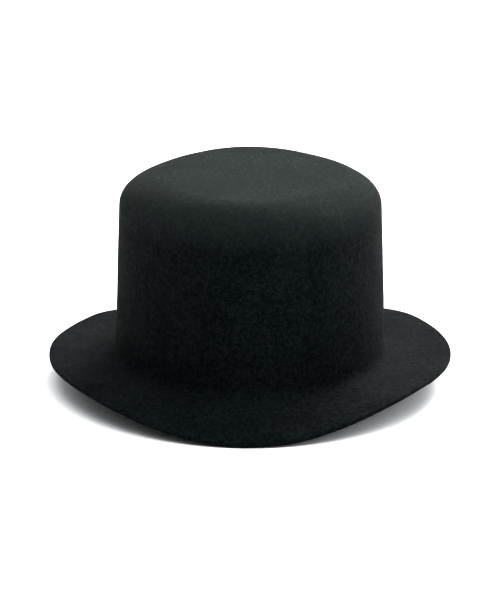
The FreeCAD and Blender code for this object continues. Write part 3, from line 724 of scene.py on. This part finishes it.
def hanging_satin():
    """How far a slack oval of satin sewn down round its rim hangs: a cloth simulation on a 3 mm grid.

    Returns a function that gives the drop at each point.
    """
    step, half_width, half_length = 3.0, 72, 87
    x, y = (np.arange(-half, half + 0.1, step) for half in (half_width, half_length))
    share = np.hypot(x[:, None] / SEAM_HALF_WIDTH, y / (SEAM_HALF_WIDTH + OVAL_DIFFERENCE))
    used = share < 1.04
    number = np.cumsum(used.ravel()).reshape(used.shape) - 1
    whole = used[:-1, :-1] & used[1:, :-1] & used[1:, 1:] & used[:-1, 1:]
    corners = [number[:-1, :-1], number[1:, :-1], number[1:, 1:], number[:-1, 1:]]
    faces = np.stack([c[whole] for c in corners], 1).tolist()
    flat = np.stack(np.broadcast_arrays(x[:, None], y, 0.0), -1)[used]
    mesh = bpy.data.meshes.new("satin_cut")
    mesh.from_pydata((flat * MM).tolist(), [], faces)
    cloth = bpy.data.objects.new("satin_cut", mesh)
    bpy.context.scene.collection.objects.link(cloth)
    sewn = cloth.vertex_groups.new(name="sewn")
    sewn.add(np.flatnonzero(share[used] > 0.96).tolist(), 1.0, "REPLACE")
    settings = cloth.modifiers.new("Cloth", "CLOTH").settings
    settings.vertex_group_mass = "sewn"
    settings.quality = 8
    settings.mass = 0.12
    settings.bending_stiffness = 0.05
    settings.shrink_min = -SATIN_SLACK
    for instant in range(1, 31):
        bpy.context.scene.frame_set(instant)
    settled = cloth.evaluated_get(bpy.context.evaluated_depsgraph_get()).to_mesh()
    drop = np.zeros(used.shape)
    drop[used] = [-v.co.z / MM for v in settled.vertices]
    bpy.context.scene.frame_set(1)
    bpy.data.objects.remove(cloth)

    def drop_at(points):
        column, row = (points[..., 0] - x[0]) / step, (points[..., 1] - y[0]) / step
        i, j = column.astype(int), row.astype(int)
        u, v = column - i, row - j
        near = drop[i, j] * (1 - v) + drop[i, j + 1] * v
        far = drop[i + 1, j] * (1 - v) + drop[i + 1, j + 1] * v
        return near * (1 - u) + far * u

    return drop_at


def tip_lining(satin):
    """The oval under the tip: it hangs a little slack and puckers along its seam."""
    share = np.concatenate([np.linspace(0.01, 0.8, 40)[:-1], np.linspace(0.8, 1, 20)])[:, None]
    turn = round_the_oval(720)
    inside = (1 - share) * SEAM_HALF_WIDTH
    flat = on_oval(SEAM_HALF_WIDTH, turn, 0.0) * share[..., None]
    sag = hanging_satin()(flat) * smooth((0.97 - share) / 0.1)
    puckers = 0.16 * np.exp(-inside / 6) * np.sin(104 * turn + 1.5 * noise_at(flat, 9, 3.3))
    middle = SEAM_HEIGHT + 0.1 + LINING / 2 - sag + puckers * smooth(inside / 2)
    layers = []
    for side in (1, -1):
        rounded = np.sqrt(1 - np.clip((share - 0.996) / 0.004, 0, 1) ** 2)
        layers.append(flat + np.stack([0 * sag, 0 * sag, middle + side * LINING / 2 * rounded], -1))
    grid = np.concatenate([layers[0], layers[1][:-1][::-1]])
    piece = surface("tip_lining_satin", [grid], fans=True)
    finish_piece(piece, satin, ["lining_tip"])


def piping():
    """The corded seam between the two, its cover twisted and pulled by the stitches."""
    turn = round_the_oval(880)[:, None]
    angle = np.arange(16) / 16 * TAU
    pull = 0.05 * np.cos(LINING_STITCHES * turn) * np.clip(-np.sin(angle), 0, 1)
    twist = 0.03 * np.sin(3 * LINING_STITCHES * turn + 2 * angle)
    radius = PIPING_RADIUS - 0.05 + pull + twist
    half = PIPING_HALF_WIDTH + radius * np.cos(angle)
    points = on_oval(half, turn, PIPING_HEIGHT + radius * np.sin(angle))
    piece = surface("piping_cord", [points.transpose(1, 0, 2)], wrap_rows=True)
    cover = satin_material("piping_satin", (0.008, 0.008, 0.010), (0.024, 0.024, 0.028))
    finish_piece(piece, cover, ["lining_piping"])


def lining():
    """Side, tip, piping and the row of stitches at their seam."""
    charcoal = (0.012, 0.0125, 0.0145), (0.034, 0.035, 0.040)
    side_lining(satin_material("charcoal_satin_side", *charcoal))
    tip_lining(satin_material("charcoal_satin_tip", *charcoal, source="Object"))
    piping()
    height = SEAM_HEIGHT - 2 * PIPING_RADIUS - 1.6
    half = LINING_STITCH / 2 / (SEAM_HALF_WIDTH + OVAL_DIFFERENCE / 2)
    rows = [((turn - half, height), (turn + half, height))
            for turn in round_the_oval(LINING_STITCHES) + math.pi / LINING_STITCHES]
    grey = thread_material("charcoal_thread", (0.075, 0.076, 0.082))
    stitches("lining_seam_thread", rows, lining_face, grey, ["lining_seam_stitching"])


lining()

# ------------------------------------------------------------------ bow, size tag and care label


def ribbon_material():
    """Grosgrain: fine ribs across the ribbon."""
    ribbon = Shader("brown_grosgrain", Roughness=0.5, Specular_IOR_Level=0.45, Sheen_Weight=0.3,
                    Sheen_Roughness=0.35)
    place = ribbon.place(source="UV")
    split = ribbon.node("SeparateXYZ", Vector=place)
    wave = ribbon.math("SINE", ribbon.math("MULTIPLY", split.outputs[1], math.pi / 0.42))
    ribs = ribbon.math("ABSOLUTE", wave)
    hairs = ribbon.noise(ribbon.place(), 0.15, detail=3)
    ribbon.colours(ribbon.total((ribs, 0.7), (hairs, 0.3)), (0.020, 0.011, 0.007), (0.070, 0.040, 0.024))
    ribbon.bump(ribbon.total((ribs, 1.0), (hairs, 0.2)), 0.06)
    return ribbon.material


def ribbon(path, widths, lean, thickness=0.28):
    """A ribbon on edge along a path of (x, y, z): rows follow it, columns go round its section."""
    path = np.asarray(path, float)
    run = np.gradient(path, axis=0)
    run /= np.linalg.norm(run, axis=1, keepdims=True)
    across = np.cross(run, np.cross(np.asarray(lean, float), run))
    across /= np.linalg.norm(across, axis=1, keepdims=True)
    face = np.cross(run, across)
    section = strip_section(thickness, [(t, 0.12 * math.cos(3.1 * t)) for t in np.linspace(-0.5, 0.5, 9)])
    widths = np.asarray(widths, float)[:, None, None]
    return path[:, None] + across[:, None] * section[:, :1] * widths + face[:, None] * section[:, 1:]


def bow():
    """Two loops and two notched tails, held by a wrapped knot."""
    back = box_mm("bow_ribbon")[1].y - 0.3
    middle_y, middle_z = back - 1.3, 33.0
    loop_reach, tail_reach, tail_drop = 11.6, 7.2, 8.6
    grids = []
    for side in (-1, 1):
        share = np.linspace(0, 1, 61)
        out = np.sin(share * math.pi) ** 0.8
        reach = loop_reach * out
        depth = 1.15 * np.sin(share * TAU) * (0.35 + 0.65 * out)
        follow = reach ** 2 / 140
        x = side * (0.6 + reach)
        path = np.stack([x, middle_y + depth - follow, middle_z + 0.25 * side + 0.5 * out], 1)
        grids.append(ribbon(path, 3.3 + 1.9 * out ** 1.5, (0, 0.12 * side, 1)))
        share = np.linspace(0, 1, 31)
        x = side * (1.0 + tail_reach * share ** 1.15)
        y = back - 0.75 - 0.07 * side + 0.35 * np.sin(share * 5 + side) * share
        z = middle_z - 0.6 - tail_drop * share - 0.5 * np.sin(share * 3)
        tail = ribbon(np.stack([x, y, z], 1), 2.6 + 2.2 * smooth(share * 2.5), (1, 0, 0.55 * side))
        notch = 1 - np.abs(np.linspace(-1, 1, 9))
        notch = np.concatenate([notch, notch[::-1]])
        run = tail[-1].mean(0) - tail[-2].mean(0)
        run /= np.linalg.norm(run)
        pull = smooth((share - 0.75) / 0.25)[:, None, None] * notch[None, :, None] * 2.0
        grids.append(tail - run * pull)
    piece = surface("bow_loops_and_tails", grids, fans=True)
    material = ribbon_material()
    finish_piece(piece, material, ["bow_ribbon"])

    share = np.linspace(-1, 1, 19)
    angle = round_the_oval(48)
    folds = 0.12 * np.sin(share * 11)[:, None] * np.ones(48)
    power = 3.2  # between a round wrap, 2, and a square one
    rings = []
    for wall in (0.0, -0.5):
        half_depth = 1.75 + wall - 0.25 * share[:, None] ** 2 + folds
        half_height = 2.35 + wall - 0.3 * share[:, None] ** 2 + folds
        square = 1 / (np.abs(np.cos(angle)) ** power + np.abs(np.sin(angle)) ** power) ** (1 / power)
        y = middle_y + half_depth * square * np.cos(angle)
        z = middle_z + half_height * square * np.sin(angle)
        x = np.broadcast_to(2.2 * share[:, None], y.shape)
        rings.append(np.stack([x, y, z], -1))
    points = np.concatenate([rings[0], rings[1][::-1]])
    knot = surface("bow_knot_wrap", [points], wrap_rows=True)
    finish_piece(knot, material, ["bow_knot"])


def label_material(name, dark, light):
    """Woven taffeta with no writing."""
    label = Shader(name, Roughness=0.55, Specular_IOR_Level=0.4, Sheen_Weight=0.3, Sheen_Roughness=0.4)
    place = label.place(source="UV")
    weave = label.weave(place, 0.22, 0.3)
    slubs = label.noise(label.place(source="UV", stretch=(0.1, 1, 1)), 0.4, detail=3)
    label.colours(label.spread(label.total((weave, 0.3), (slubs, 0.9)), 0.1, 0.9), dark, light)
    label.bump(label.total((weave, 0.6), (slubs, 0.4)), 0.05)
    return label.material


def size_tag():
    """A blank woven tag on the leather, its corners sewn down."""
    low, high = box_mm("size_tag")
    middle, half = (low + high) / 2, (high - low) / 2
    x = np.linspace(low.x, high.x, 37)
    height = np.linspace(low.z, high.z, 21)
    across, up = (x - middle.x) / half.x, (height - middle.z) / half.z
    loose = 0.28 * (1 - across[:, None] ** 2) * np.abs(up) ** 3 + 0.10 * np.cos(2.5 * across[:, None])
    turn = np.arcsin(x / TAG_RADIUS)[:, None]
    layers = [leather_face(turn, height, 0.06 + loose + side * 0.22) for side in (0, 1)]
    points = np.concatenate([layers[0], layers[1][:, ::-1]], 1)
    piece = surface("size_tag_woven", [points], fans=True)
    cream = label_material("cream_woven_tag", (0.20, 0.185, 0.15), (0.40, 0.375, 0.31))
    finish_piece(piece, cream, ["size_tag"])
    inset, stitch = 1.1, 2.0
    ends = []
    for z in (low.z + inset, high.z - inset):
        for start in (low.x + inset, high.x - inset - stitch):
            ends.append(tuple((math.asin(at / TAG_RADIUS), z) for at in (start, start + stitch)))
    ivory = thread_material("ivory_thread", (0.36, 0.34, 0.29))
    tacks = stitches("size_tag_thread", ends, leather_face, ivory, ["size_tag_stitches"], lift=0.6)


def care_label():
    """A blank label, folded double, that hangs from the seam and bends into it at its top."""
    low, high = box_mm("care_label")
    x0, top, foot, length = (low.x + high.x) / 2, high.z, low.z + 0.2, 34
    rise = np.linspace(foot, top - 1.5, 40)
    belly = 0.35 * np.sin((rise - foot) / length * math.pi) - 0.2 * ((top - rise) / length) ** 2
    into_seam = ((0.05, -0.6), (0.2, 0.3), (0.6, 0.9), (1.2, 1.2))
    line = [*zip(x0 + belly, rise), *((x0 + aside, top + above) for aside, above in into_seam)]
    outline = strip_section(0.4, line)
    y = np.linspace(low.y, high.y, 41)
    arc = -0.7 * (y / 12) ** 2
    ripple = 0.22 * np.sin(y * 0.38 + 0.6)
    hang = (top - outline[:, 1]).clip(0) / length
    x = outline[:, 0] + arc[:, None] + ripple[:, None] * hang
    points = np.stack(np.broadcast_arrays(x, y[:, None], outline[:, 1]), -1)
    piece = surface("care_label_woven", [points], fans=True)
    cream = label_material("cream_care_label", (0.21, 0.20, 0.17), (0.42, 0.40, 0.35))
    finish_piece(piece, cream, ["care_label"], body=None)
    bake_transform(piece)


bow()
size_tag()
care_label()


# ------------------------------------------------------------------ stage, light and camera

BRIGHT_SKY = (0.55, 0.4, 0.73)  # where the studio's soft light is strongest
SKY_STRENGTH = (0.05, 2.7)


def stage():
    """A plain pale floor."""
    bpy.ops.mesh.primitive_plane_add(size=14, location=(0, 0, 0))
    floor = bpy.context.object
    floor.name = "floor"
    paint = Shader("pale_floor", Base_Color=(0.90, 0.895, 0.885, 1), Roughness=0.9, Specular_IOR_Level=0.1)
    floor.data.materials.append(paint.material)


def softbox(name, place, aim, size, power, colour=(1, 1, 1)):
    """A large soft lamp, in metres and watts."""
    light = bpy.data.lights.new(name, "AREA")
    light.shape = "RECTANGLE"
    light.size, light.size_y = size
    light.energy = power
    light.color = colour
    lamp = bpy.data.objects.new(name, light)
    lamp.location = place
    lamp.rotation_euler = (Vector(aim) - Vector(place)).to_track_quat("-Z", "Y").to_euler()
    bpy.context.scene.collection.objects.link(lamp)


def lights():
    """A soft sky, brighter towards one side, and two softboxes."""
    world = bpy.data.worlds.new("studio")
    bpy.context.scene.world = world
    world.use_nodes = True
    tree = world.node_tree
    background = tree.nodes["Background"]
    background.inputs["Color"].default_value = (0.93, 0.97, 1.0, 1)
    towards = tree.nodes.new("ShaderNodeVectorMath")
    towards.operation = "DOT_PRODUCT"
    towards.inputs[1].default_value = BRIGHT_SKY
    fade = tree.nodes.new("ShaderNodeMapRange")
    for socket, value in zip(fade.inputs[1:5], (-0.3, 1.0, *SKY_STRENGTH)):
        socket.default_value = value
    tree.links.new(tree.nodes.new("ShaderNodeTexCoord").outputs["Generated"], towards.inputs[0])
    tree.links.new(towards.outputs["Value"], fade.inputs[0])
    tree.links.new(fade.outputs[0], background.inputs["Strength"])
    softbox("key", (0.85, 1.75, 1.6), (0, 0, 0.08), (1.4, 1.1), 145, (1.0, 0.985, 0.96))
    softbox("front", (0, -0.9, 1.9), (0, -0.1, 0.1), (1.6, 1.2), 35)
    bpy.context.scene.view_settings.view_transform = "Standard"


def camera():
    """Seen from the front, 14.88 degrees down, from 1.73 m away."""
    pitch = math.radians(14.88)
    distance = 1.73256
    aim = Vector((0, 0, 0.05182))
    lens = bpy.data.cameras.new("camera")
    lens.sensor_width = 36
    lens.lens = 161.3
    lens.clip_end = 100
    eye = bpy.data.objects.new("camera", lens)
    eye.location = aim + distance * Vector((0, -math.cos(pitch), math.sin(pitch)))
    eye.rotation_euler = (math.pi / 2 - pitch, 0, 0)
    bpy.context.scene.collection.objects.link(eye)
    bpy.context.scene.camera = eye


stage()
lights()
camera()
